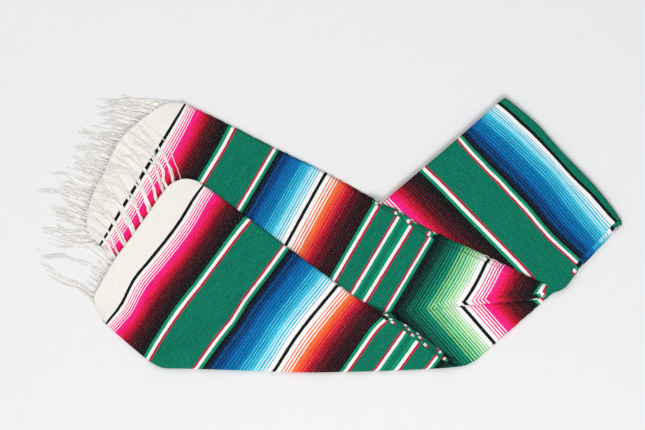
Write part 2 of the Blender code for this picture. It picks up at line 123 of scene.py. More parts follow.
# Selvedge sides and crease sides.
BACK_SELVEDGE: Line = [(-273, 250), (-183, 205), (-6, 117), (47, 86), (93, 57), (133, 36),
                       (157, 18), (193, -3), (250, -26), (300, -53), (354, -74), (404, -100),
                       (404, -119)]
FRONT_SELVEDGE: Line = [(-238, 95), (-150, 30), (-82, -21), (17, -94), (71, -130), (108, -158),
                        (145, -182), (170, -201), (207, -228), (227, -240), (250, -249)]
TURNED_SELVEDGE: Line = [(558, 27), (519, -15), (474, -58), (444, -92), (411, -111),
                         (404, -119)]
UNDER_SELVEDGE: Line = [(558, 27), (522, -18), (477, -62), (445, -96), (411, -117),
                        (390, -135), (360, -164), (316, -203), (290, -227), (273, -241)]
BACK_CREASE: Line = [(-435, -19), (-340, -73), (-168, -172)]
FRONT_CREASE: Line = [(-424, -169), (-344, -237), (-332, -249)]
TURNED_CREASE: Line = [(336, 263), (315, 246), (233, 173), (108, 67), (-168, -172)]
UNDER_CREASE: Line = [(336, 263), (315, 246), (233, 173), (108, 67), (-184, -165),
                      (-332, -249)]


# ---------------------------------------------------------------- plane geometry

def smooth_line(points: Line, step: float) -> Array:
    """Draw a curve through some points.

    Args:
        points: the places that the curve passes.
        step: rough spacing of the result, in mm.

    Returns:
        An array of (x, y) rows.
    """
    rows = [Vector(p) for p in points]
    ends = [2 * rows[0] - rows[1]] + rows + [2 * rows[-1] - rows[-2]]
    curve = []
    for p0, p1, p2, p3 in zip(ends, ends[1:], ends[2:], ends[3:]):
        count = max(1, round((p2 - p1).length / step))
        for j in range(count):
            t = j / count
            curve.append(0.5 * (2 * p1 + (p2 - p0) * t
                                + (2 * p0 - 5 * p1 + 4 * p2 - p3) * t ** 2
                                + (3 * p1 - p0 - 3 * p2 + p3) * t ** 3))
    curve.append(rows[-1])
    return np.array([tuple(p) for p in curve])


def drawn_on(line: Array, by: float) -> Array:
    """A line of points, drawn on straight at both ends by so many of its own steps."""
    return np.vstack([line[0] + by * (line[0] - line[1]), line,
                      line[-1] + by * (line[-1] - line[-2])])


def lengths(line: Array) -> Array:
    """How far along a line of points each of them lies."""
    return np.concatenate([[0.0], np.cumsum(np.hypot(*np.diff(line, axis=0).T))])


def places_at(line: Array, reach: Array, at: Array) -> Array:
    """Places on a line, at some distances along it; reach is its own points' distances."""
    return np.column_stack([np.interp(at, reach, line[:, 0]), np.interp(at, reach, line[:, 1])])


def nearest_on_line(places: Array, line: Array) -> tuple[Array, Array, Array]:
    """Find how far each place is from a line of points, and on which side.

    Args:
        places: (n, 2) points.
        line: (m, 2) points of an open line.

    Returns:
        The distances, the unit normals of the nearest stretches, to their left, and 1 for
        places on the left or -1 for those on the right.
    """
    best = np.full(len(places), FAR)
    nearest = np.zeros(len(places), dtype=int)
    for i, (a, b) in enumerate(zip(line, line[1:])):
        along = b - a
        share = np.clip((places - a) @ along / (float(along @ along) or TINY), 0.0, 1.0)
        gap = np.hypot(*(places - a - share[:, None] * along).T)
        nearer = gap < best
        best[nearer] = gap[nearer]
        nearest[nearer] = i
    along = (line[1:] - line[:-1])[nearest]
    left = np.column_stack([-along[:, 1], along[:, 0]])
    left /= np.maximum(np.hypot(*along.T), TINY)[:, None]
    return best, left, np.sign(((places - line[nearest]) * left).sum(axis=1))


def inside_by(places: Array, ring: Array) -> Array:
    """Find how far each place lies inside a ring.

    Args:
        places: (n, 2) points.
        ring: (m, 2) points, the last one joined to the first.

    Returns:
        The distances, negative outside the ring.
    """
    closed = np.vstack([ring, ring[:1]])
    gap = nearest_on_line(places, closed)[0]
    inside = np.zeros(len(places), dtype=bool)
    x, y = places.T
    for a, b in zip(closed, closed[1:]):
        if a[1] != b[1]:
            crosses = (a[1] > y) != (b[1] > y)
            inside ^= crosses & (x < a[0] + (y - a[1]) * (b[0] - a[0]) / (b[1] - a[1]))
    return np.where(inside, gap, -gap)


def crossing(start: Array, way: Array, line: Array) -> float | None:
    """Find where a straight way crosses a line of points, nearest to its start.

    Args:
        start: where the way starts.
        way: its unit direction.
        line: (m, 2) points.

    Returns:
        How far along the way that is, negative behind the start, or None.
    """
    best = None
    for a, b in zip(line, line[1:]):
        side = b - a
        turn = way[0] * side[1] - way[1] * side[0]
        if abs(turn) < TINY:
            continue
        gap = a - start
        reach = (gap[0] * side[1] - gap[1] * side[0]) / turn
        share = (gap[0] * way[1] - gap[1] * way[0]) / turn
        if -1e-6 <= share <= 1 + 1e-6 and (best is None or abs(reach) < abs(best)):
            best = reach
    return best


def smoothstep(value: Array) -> Array:
    """0 below 0, 1 above 1, and a soft rise between."""
    t = np.clip(value, 0.0, 1.0)
    return t * t * (3 - 2 * t)


# ---------------------------------------------------------------- yarns and chart

class Yarn(Enum):
    """The dyed weft yarns, as sRGB colours."""

    CREAM = (0.945, 0.925, 0.895)
    WHITE = (0.950, 0.945, 0.935)
    BLACK = (0.060, 0.058, 0.065)
    SOOT = (0.100, 0.080, 0.088)
    BROWN = (0.240, 0.070, 0.100)
    MAROON = (0.440, 0.035, 0.115)
    RED = (0.790, 0.070, 0.200)
    CRIMSON = (0.760, 0.060, 0.220)
    ROSE = (0.935, 0.090, 0.370)
    MAGENTA = (0.955, 0.110, 0.540)
    ORANGE = (0.950, 0.430, 0.215)
    VERMILION = (0.930, 0.300, 0.210)
    NAVY = (0.030, 0.130, 0.260)
    BLUE = (0.005, 0.320, 0.590)
    AZURE = (0.010, 0.480, 0.680)
    CYAN = (0.260, 0.750, 0.860)
    ICE = (0.700, 0.900, 0.930)
    NIGHT = (0.035, 0.090, 0.095)
    TEAL = (0.020, 0.260, 0.235)
    GREEN = (0.010, 0.450, 0.350)
    LEAF = (0.020, 0.570, 0.420)
    SPRING = (0.090, 0.660, 0.470)
    LIME = (0.540, 0.830, 0.540)
    CELERY = (0.810, 0.925, 0.730)


@dataclass(frozen=True)
class Shade:
    """One band of the chart: two yarns in lines that take turns, or one yarn alone.

    The second yarn's lines begin narrow and end wide, so that the band shades over:
    begin is their share of the first turn's width, about, and gain what that grows by.
    """

    first: Yarn
    width: float
    second: Yarn | None = None
    turns: int = 0
    begin: float = 0.30
    gain: float = 0.40

    def lines(self) -> list[tuple[Yarn, float]]:
        """Draw the band's lines.

        Returns:
            Rows of (yarn, width in mm), towards the middle of the cloth.
        """
        if self.second is None:
            return [(self.first, self.width)]
        turn = self.width / self.turns
        rows = []
        for i in range(self.turns):
            share = self.begin + self.gain * (i + 0.5) / self.turns
            rows += [(self.first, turn * (1 - share)), (self.second, turn * share)]
        return rows


Y = Yarn
LEFT_TRIM = [Shade(Y.LEAF, 5.6), Shade(Y.WHITE, 6.2), Shade(Y.CRIMSON, 4.0)]
RIGHT_TRIM = [Shade(Y.CRIMSON, 3.8), Shade(Y.WHITE, 4.8), Shade(Y.LEAF, 5.6)]
PINSTRIPE = [Shade(Y.LEAF, 5.6), Shade(Y.GREEN, 8.8), Shade(Y.LEAF, 6.4)]
BLACK_LINE = Shade(Y.BLACK, 6.2)

# Shadings to or from near black: (yarn, second yarn, share of the whole width, turns).
PINKS = [(Y.WHITE, None, 0.04, 0), (Y.WHITE, Y.MAGENTA, 0.27, 5), (Y.MAGENTA, Y.ROSE, 0.09, 2),
         (Y.ROSE, Y.RED, 0.08, 2), (Y.RED, Y.MAROON, 0.12, 3), (Y.MAROON, Y.SOOT, 0.16, 3),
         (Y.BROWN, Y.BLACK, 0.14, 3), (Y.SOOT, Y.BLACK, 0.10, 2)]
BLUES = [(Y.SOOT, None, 0.03, 0), (Y.BLACK, Y.NAVY, 0.06, 1), (Y.BLACK, Y.BLUE, 0.08, 2),
         (Y.NAVY, Y.BLUE, 0.10, 2), (Y.BLUE, Y.AZURE, 0.22, 4), (Y.AZURE, Y.CYAN, 0.20, 4),
         (Y.CYAN, Y.ICE, 0.10, 2), (Y.CYAN, Y.WHITE, 0.16, 3), (Y.WHITE, None, 0.05, 0)]
ORANGES = [(Y.WHITE, None, 0.04, 0), (Y.WHITE, Y.ORANGE, 0.24, 4),
           (Y.ORANGE, Y.VERMILION, 0.08, 1), (Y.VERMILION, Y.RED, 0.12, 2),
           (Y.RED, Y.BROWN, 0.14, 3), (Y.MAROON, Y.SOOT, 0.14, 3), (Y.BROWN, Y.BLACK, 0.24, 4)]
LIMES = [(Y.NIGHT, None, 0.08, 0), (Y.BLACK, Y.TEAL, 0.12, 3), (Y.NIGHT, Y.GREEN, 0.12, 3),
         (Y.TEAL, Y.LEAF, 0.16, 3), (Y.GREEN, Y.LIME, 0.17, 3), (Y.SPRING, Y.CELERY, 0.15, 3),
         (Y.LIME, Y.WHITE, 0.14, 3), (Y.WHITE, None, 0.06, 0)]


def shaded(width: float, parts: list) -> list[Shade]:
    """Bands that fill a width in mm, from one of the tables above."""
    return [Shade(first, width * share, second, turns) for first, second, share, turns in parts]


def chart() -> list[Shade]:
    """Set out the stripes.

    Returns:
        Every band, from the woven end to just past the middle of the cloth.
    """
    return [
        Shade(Y.CREAM, CREAM_END - BLACK_LINE.width / 2), BLACK_LINE, *shaded(87.7, PINKS),
        *LEFT_TRIM, Shade(Y.GREEN, 73.0), *RIGHT_TRIM, *shaded(99.1, BLUES),
        BLACK_LINE, *shaded(101.7, ORANGES),
        *LEFT_TRIM, Shade(Y.GREEN, 31.4),
        Shade(Y.CRIMSON, 3.8), Shade(Y.WHITE, 4.8), *PINSTRIPE, Shade(Y.WHITE, 6.0),
        Shade(Y.CRIMSON, 4.0), Shade(Y.GREEN, 32.0), *RIGHT_TRIM, *shaded(107.2, LIMES),
        BLACK_LINE, *shaded(107.0, PINKS),
        *LEFT_TRIM, Shade(Y.GREEN, 75.0), *RIGHT_TRIM, *shaded(98.8, BLUES),
        Shade(Y.BLACK, 6.0), Shade(Y.GREEN, 60.0),
    ]


# ---------------------------------------------------------------- finishes

def linear(color: Color) -> tuple[float, float, float, float]:
    """An sRGB colour as the linear one that a shader takes."""
    parts = [c / 12.92 if c <= 0.04045 else ((c + 0.055) / 1.055) ** 2.4 for c in color]
    return (*parts, 1.0)


class NodeSheet:
    """A material under construction, with short calls for the nodes it needs."""

    def __init__(self, name: str) -> None:
        """Start a material with a Principled shader.

        Args:
            name: its name.
        """
        self.material = bpy.data.materials.new(name)
        self.material.use_nodes = True
        self.tree = self.material.node_tree
        self.shader = self.tree.nodes["Principled BSDF"]

    def feed(self, socket: Socket, value: object) -> None:
        """Give a socket what it takes.

        Args:
            socket: an input.
            value: another node's output, to link, or a plain value.
        """
        if isinstance(value, Socket):
            self.tree.links.new(value, socket)
        else:
            socket.default_value = value

    def node(self, kind: str, inputs: dict | None = None, **settings: object) -> bpy.types.Node:
        """Add a node.

        Args:
            kind: its type's identifier.
            inputs: outputs or plain values for its inputs, by name or number.
            **settings: its plain properties.

        Returns:
            The node.
        """
        made = self.tree.nodes.new(kind)
        for key, value in settings.items():
            setattr(made, key, value)
        for key, value in (inputs or {}).items():
            self.feed(made.inputs[key], value)
        return made

    def math(self, operation: str, *values: object) -> Socket:
        """The result of a Math node with those inputs."""
        return self.node("ShaderNodeMath", dict(enumerate(values)), operation=operation).outputs[0]

    def mix(self, factor: object, a: object, b: object, blend: str = "MIX") -> Socket:
        """The result of a colour Mix node."""
        return self.node("ShaderNodeMix", {0: factor, 6: a, 7: b}, data_type="RGBA",
                         blend_type=blend).outputs[2]

    def noise(self, vector: Socket, scale: float, detail: float = 2.0,
              roughness: float = 0.5) -> Socket:
        """The value of a Noise texture, from 0 to 1."""
        return self.node("ShaderNodeTexNoise", {"Vector": vector, "Scale": scale, "Detail": detail,
                                                "Roughness": roughness}).outputs["Fac"]

    def grain(self, vector: Socket, scale: tuple, detail: float = 2.0,
              roughness: float = 0.5) -> Socket:
        """The same, stretched by its own scale along each axis."""
        stretched = self.node("ShaderNodeMapping", {"Vector": vector, "Scale": scale}).outputs[0]
        return self.noise(stretched, 1.0, detail, roughness)

    def bump(self, height: Socket, strength: float, distance: float) -> None:
        """Feed the shader's normal.

        Args:
            height: the height that it takes after.
            strength: how much of it shows.
            distance: metres that a height of 1 stands for.
        """
        bump = self.node("ShaderNodeBump",
                         {"Strength": strength, "Distance": distance, "Height": height})
        self.feed(self.shader.inputs["Normal"], bump.outputs[0])

    def surface(self, color: Socket, roughness: float, specular: float, sheen: float = 0.0,
                sheen_roughness: float = 0.5) -> bpy.types.Material:
        """Finish the material.

        Args:
            color: its colour.
            roughness: how matt it is.
            specular: the level of its plain reflection.
            sheen: the weight of its fuzz.
            sheen_roughness: how widely the fuzz scatters light.

        Returns:
            The material.
        """
        for key, value in (("Base Color", color), ("Roughness", roughness),
                           ("Specular IOR Level", specular), ("Sheen Weight", sheen),
                           ("Sheen Roughness", sheen_roughness)):
            self.feed(self.shader.inputs[key], value)
        return self.material


@dataclass(frozen=True)
class StripedWeave:
    """The weft-faced cloth: charted stripes, ribs over the warp, flecks and light fuzz.

    Each grain is a noise's scale along the cloth, across it and through it, per metre.
    """

    name: str = "striped_weave"
    stops: int = 30               # lines that one colour ramp holds
    reach: float = 150.0          # greatest length of cloth on one ramp, mm
    warp_pitch: float = 2.5       # mm from rib to rib
    weft_pitch: float = 1.25      # mm from one pass of the weft to the next
    waver: float = 0.0007         # a line strays from straight by this, m
    waver_grain: tuple = (260.0, 60.0, 1.0)
    cloud_grain: tuple = (400.0, 330.0, 1.0)
    streak_grain: tuple = (520.0, 26.0, 1.0)
    streaky: float = 0.45         # the streaks' part in the uneven tone
    cloudy: float = 0.55          # the clouds' part
    mottle: float = 2.9           # how far the tone of the dyed cloth strays
    plain: float = 1.2            # the same for the plain end
    dyed_from: float = -2.4       # mm along the cloth from which the first holds
    calm: float = 0.72            # how much less of it shows on the lightest yarn
    darkest: float = 0.15         # the least tone
    fleck_grain: tuple = (560.0, 430.0, 1.0)
    fleck_gain: float = 8.0       # with the next: only the noise's peaks are flecks
    fleck_start: float = -4.9
    fleck_color: tuple = (0.032, 0.052, 0.050, 1.0)   # linear, added

    def pages(self) -> list[tuple[float, float, list[tuple[float, Yarn]]]]:
        """Cut the chart into stretches that one colour ramp each can hold.

        Returns:
            Rows of (start, length, lines) in mm; a line is (where it begins, its yarn).
        """
        made, page = [], []
        start = at = -CREAM_END
        for yarn, width in (line for shade in chart() for line in shade.lines()):
            if page and (len(page) >= self.stops or at + width - start > self.reach):
                made.append((start, at - start, page))
                start, page = at, []
            page.append((at, yarn))
            at += width
        return made + [(start, at - start, page)]

    def colour(self, sheet: NodeSheet, along: Socket) -> Socket:
        """Make the charted colour out of colour ramps.

        Args:
            sheet: the material.
            along: metres along the cloth.

        Returns:
            The yarn's colour there.
        """
        result: object = linear(Yarn.CREAM.value)
        for start, length, lines in self.pages():
            place = sheet.math("MULTIPLY_ADD", along, 1.0 / (length * MM), -start / length)
            ramp = sheet.node("ShaderNodeValToRGB", {0: place})
            ramp.color_ramp.interpolation = "CONSTANT"
            stops = ramp.color_ramp.elements
            stops.remove(stops[1])
            stops[0].position = 0.0
            stops[0].color = linear(lines[0][1].value)
            for begin, yarn in lines[1:]:
                stops.new((begin - start) / length).color = linear(yarn.value)
            past = sheet.math("GREATER_THAN", along, start * MM)
            result = sheet.mix(past, result, ramp.outputs[0])
        return result

    def build(self) -> bpy.types.Material:
        """Make the material.

        Returns:
            It; it reads the cloth's own measures from its UV map.
        """
        sheet = NodeSheet(self.name)
        cloth = sheet.node("ShaderNodeUVMap", uv_map="cloth").outputs[0]
        along, across, _ = sheet.node("ShaderNodeSeparateXYZ", {0: cloth}).outputs
        stray = sheet.math("MULTIPLY_ADD", sheet.grain(cloth, self.waver_grain),
                           2 * self.waver, -self.waver)
        colour = self.colour(sheet, sheet.math("ADD", along, stray))

        clouds = sheet.grain(cloth, self.cloud_grain, roughness=0.6)
        streaks = sheet.grain(cloth, self.streak_grain, roughness=0.6)
        uneven = sheet.math("MULTIPLY_ADD", streaks, self.streaky,
                            sheet.math("MULTIPLY", clouds, self.cloudy))
        dyed = sheet.math("GREATER_THAN", along, self.dyed_from * MM)
        depth = sheet.math("MULTIPLY_ADD", dyed, self.mottle - self.plain, self.plain)
        light = sheet.node("ShaderNodeRGBToBW", {0: colour}).outputs[0]
        depth = sheet.math("MULTIPLY", depth, sheet.math("MULTIPLY_ADD", light, -self.calm, 1.0))
        tone = sheet.math("MULTIPLY_ADD", sheet.math("SUBTRACT", uneven, 0.5), depth, 1.0)
        tone = sheet.math("MAXIMUM", tone, self.darkest)
        toned = sheet.node("ShaderNodeVectorMath", {0: colour, "Scale": tone}, operation="SCALE")

        fleck = sheet.grain(cloth, self.fleck_grain, detail=0.0)
        fleck = sheet.math("MULTIPLY_ADD", fleck, self.fleck_gain, self.fleck_start)
        fleck = sheet.math("MINIMUM", sheet.math("MAXIMUM", fleck, 0.0), 1.0)
        sheet.bump(self.ribs(sheet, along, across, clouds), strength=0.55, distance=0.0006)
        return sheet.surface(sheet.mix(fleck, toned.outputs[0], self.fleck_color, "ADD"),
                             roughness=0.92, specular=0.10, sheen=0.03)

    def ribs(self, sheet: NodeSheet, along: Socket, across: Socket, clouds: Socket) -> Socket:
        """Make the height of the weave: each pass of weft arches over each second warp.

        Args:
            sheet: the material.
            along: metres along the cloth.
            across: metres in from the selvedge.
            clouds: a noise that roughens the yarn.

        Returns:
            The height, from 0 to about 1.6.
        """
        def arches(turns: Socket, power: float) -> Socket:
            """One arch for each whole turn, the fuller the lower the power."""
            wave = sheet.math("SINE", sheet.math("MULTIPLY", turns, math.pi))
            return sheet.math("POWER", sheet.math("ABSOLUTE", wave), power)

        row = sheet.math("DIVIDE", along, self.weft_pitch * MM)
        second = sheet.math("MODULO", sheet.math("FLOOR", row), 2.0)
        rib = sheet.math("ADD", sheet.math("DIVIDE", across, self.warp_pitch * MM),
                         sheet.math("MULTIPLY", second, 0.5))
        height = sheet.math("MULTIPLY", arches(rib, 0.6), arches(row, 0.5))
        return sheet.math("MULTIPLY_ADD", clouds, 0.6, height)


@dataclass(frozen=True)
class FringeYarn:
    """Off-white cotton warp yarn, two-ply; each strand has a tone of its own."""

    name: str = "fringe_yarn"
    plies: int = 2
    turns: float = 34.0           # turns of the twist along one strand
    color: Color = (0.985, 0.975, 0.960)
    shade: Color = (0.925, 0.900, 0.865)
    grain: float = 260.0          # scale of the patches, per metre
    patchy: float = 0.3           # their part in the shade; the rest is the strand's tone

    def build(self) -> bpy.types.Material:
        """Make the material.

        Returns:
            It; it reads the UV map and the tones of the strands.
        """
        sheet = NodeSheet(self.name)
        place = sheet.node("ShaderNodeTexCoord").outputs["Object"]
        patch = sheet.math("MULTIPLY", sheet.noise(place, self.grain), self.patchy)
        own = sheet.node("ShaderNodeAttribute", attribute_name="tone").outputs["Fac"]
        color = sheet.mix(sheet.math("ADD", own, patch), linear(self.color), linear(self.shade))
        yarn = sheet.node("ShaderNodeUVMap", uv_map="yarn").outputs[0]
        along, around, _ = sheet.node("ShaderNodeSeparateXYZ", {0: yarn}).outputs
        twist = sheet.math("ADD", sheet.math("MULTIPLY", along, self.turns * math.tau),
                           sheet.math("MULTIPLY", around, self.plies * math.tau))
        sheet.bump(sheet.math("SINE", twist), strength=0.3, distance=0.0002)
        return sheet.surface(color, roughness=0.9, specular=0.2, sheen=0.50, sheen_roughness=0.6)


# ---------------------------------------------------------------- runs of cloth

@dataclass
class Fold:
    """A fold round which a whole run is turned under.

    line is the outermost line, with the run on its left. floor is the height of the
    roll's lowest ply. A pressed fold is thinner than the run: its radius is less. Past
    TAIL_START the run below goes on this much further: tail.
    """

    line: Line
    floor: float
    radius: float = RUN
    tail: float = 0.0

    def __post_init__(self) -> None:
        """Sample the line, drawn on straight at both ends."""
        self.curve = drawn_on(smooth_line(self.line, FOLD_STEP), 6)

    def beyond(self, places: Array) -> tuple[Array, Array]:
        """Find how far places lie past the roll's middle.

        Args:
            places: (n, 2) points.

        Returns:
            The distances, negative before it, and the unit ways out.
        """
        gap, left, side = nearest_on_line(places, self.curve)
        return self.radius - gap * side, -left

    def pressed(self, level: Array, past: Array) -> Array:
        """Bring plies down towards the fold's own thickness.

        Args:
            level: their heights.
            past: how far past the roll's middle they are.

        Returns:
            The heights there.
        """
        share = 1 - (1 - self.radius / RUN) * smoothstep(1 + past / PRESS_REACH)
        return self.floor + (level - self.floor) * share


@dataclass
class Run:
    """One run of the four-ply strip.

    stations are stripes of the cloth: how far along it each lies, and the places that
    it passes from the selvedge to the crease. outline is the run's plan, clockwise.
    flat is the top ply's cut in metres, crease and end two sides of the plan. edges says,
    for each ply below the top one, how far it stands out at the selvedge and how far its
    stripes have slipped along, as rows of (mm along, out, slip). relief has the top ply's
    ridges. fold is the run's own, cut_folds those of other runs at which it stops, and
    below and above are the runs under it and over it.
    """

    name: str
    node: str
    stations: list
    outline: list
    flat: Point
    crease: Line
    fold: Fold | None = None
    end: Line | None = None
    edges: list = field(default_factory=lambda: LEVEL_EDGES)
    below: list = field(default_factory=list)
    above: list = field(default_factory=list)
    cut_folds: list = field(default_factory=list)
    relief: list = field(default_factory=list)
    fine: Point = (2.6, 3.4)      # steps of the top ply's grid along and across, mm
    coarse: Point = (6.0, 7.0)    # those of the plies below it
    lines: int = 48               # places on each stripe

    def __post_init__(self) -> None:
        """Sample the stripes and the plan outline."""
        self.ring = np.vstack([smooth_line(side, RING_STEP)[:-1] for side in self.outline])
        self.places = [mm for mm, _ in self.stations]
        self.rows = [self.even_row(points) for _, points in self.stations]
        if self.end is not None:
            self.places.insert(0, -CREAM_END)
            self.rows.insert(0, self.spread(smooth_line(self.end, END_STEP)))

    def even_row(self, points: Line) -> Array:
        """Sample one stripe evenly, drawn on or cut off at the crease.

        Args:
            points: the places that it passes.

        Returns:
            An array of (x, y) rows.
        """
        curve = smooth_line(points, STATION_STEP)
        last = curve[-1]
        way = last - curve[-3 if len(curve) > 3 else 0]
        way = way / np.hypot(*way)
        reach = crossing(last, way, drawn_on(np.array(self.crease, dtype=float), 2))
        if reach is None or abs(reach) > STRIP_WIDTH:
            reach = STRIP_WIDTH - lengths(curve)[-1]
        if reach < 0.0:
            curve = curve[np.hypot(*(curve - last).T) > -reach]
        return self.spread(np.vstack([curve, last + way * reach]))

    def spread(self, curve: Array) -> Array:
        """The same number of even places on any line of points."""
        reach = lengths(curve)
        return places_at(curve, reach, np.linspace(0.0, reach[-1], self.lines))

    def plan(self, along: Array, across: Array) -> Array:
        """Find where points of the cloth lie.

        Args:
            along: mm along the cloth from the first black line.
            across: mm in from the selvedge; negative stands out beyond it.

        Returns:
            (n, 2) places in mm.
        """
        stack = np.array(self.rows)
        marks = np.array(self.places, dtype=float)
        slopes = np.empty_like(stack)
        slopes[1:-1] = (stack[2:] - stack[:-2]) / (marks[2:] - marks[:-2])[:, None, None]
        slopes[0] = (stack[1] - stack[0]) / (marks[1] - marks[0])
        slopes[-1] = (stack[-1] - stack[-2]) / (marks[-1] - marks[-2])
        share = across / STRIP_WIDTH * (self.lines - 1)
        j = np.clip(np.floor(share).astype(int), 0, self.lines - 2)
        s = (share - j)[:, None]
        i = np.clip(np.searchsorted(marks, along, side="right") - 1, 0, len(marks) - 2)
        h = (marks[i + 1] - marks[i])[:, None]
        t = (along - marks[i])[:, None] / h

        def pick(table: Array, row: Array) -> Array:
            """A table's value between two places of a row, drawn on past its ends."""
            return table[row, j] * (1 - s) + table[row, j + 1] * s

        inner = np.clip(t, 0.0, 1.0)
        past = t - inner
        p0, p1 = pick(stack, i), pick(stack, i + 1)
        m0, m1 = pick(slopes, i) * h, pick(slopes, i + 1) * h
        place = ((2 * inner ** 3 - 3 * inner ** 2 + 1) * p0
                 + (inner ** 3 - 2 * inner ** 2 + inner) * m0
                 + (-2 * inner ** 3 + 3 * inner ** 2) * p1 + (inner ** 3 - inner ** 2) * m1)
        return place + past * np.where(past < 0, m0, m1)

    def base(self, places: Array) -> Array:
        """Find the height on which the run lies: it drapes over the runs below.

        Args:
            places: (n, 2) points.

        Returns:
            The heights there.
        """
        height = np.zeros(len(places))
        for run in self.below:
            height += RUN * smoothstep(1 + inside_by(places, run.ring) / DRAPE)
        return height

    def lift(self, places: Array) -> Array:
        """Find the height of the top ply's soft ridges.

        Args:
            places: (n, 2) points.

        Returns:
            The heights there.
        """
        height = np.zeros(len(places))
        for line, width, rise in self.relief:
            gap = nearest_on_line(places, smooth_line(line, RELIEF_STEP))[0]
            height += rise * smoothstep(1.0 - gap / width)
        return height

    def edge(self, number: int, along: Array) -> tuple[Array, Array]:
        """Find how a ply's selvedge lies.

        Args:
            number: the ply, from 1 for the second one.
            along: mm along the cloth.

        Returns:
            How far it stands out, and how far it has slipped along, in mm.
        """
        marks, outs, slips = zip(*self.edges[number - 1])
        ragged = sum(RAGGED * np.sin(along / length + turn * number)
                     for length, turn in RAGGED_WAVES)
        out = (np.interp(along, marks, outs) + ragged) * smoothstep(along / EDGE_START)
        return out, np.interp(along, marks, slips)

    def span(self) -> Point:
        """Where the run begins and ends along the cloth."""
        return self.places[0], self.places[-1]

    def mirrored(self) -> bool:
        """Find which face of the cloth is up.

        Returns:
            Whether the cloth's own measures are seen from behind in the plan.
        """
        along, across = sum(self.span()) / 2, STRIP_WIDTH / 2
        spot, on, up = self.plan(np.array([along, along + 1.0, along]),
                                 np.array([across, across, across + 1.0]))
        on, up = on - spot, up - spot
        return bool(on[0] * up[1] - on[1] * up[0] < 0.0)


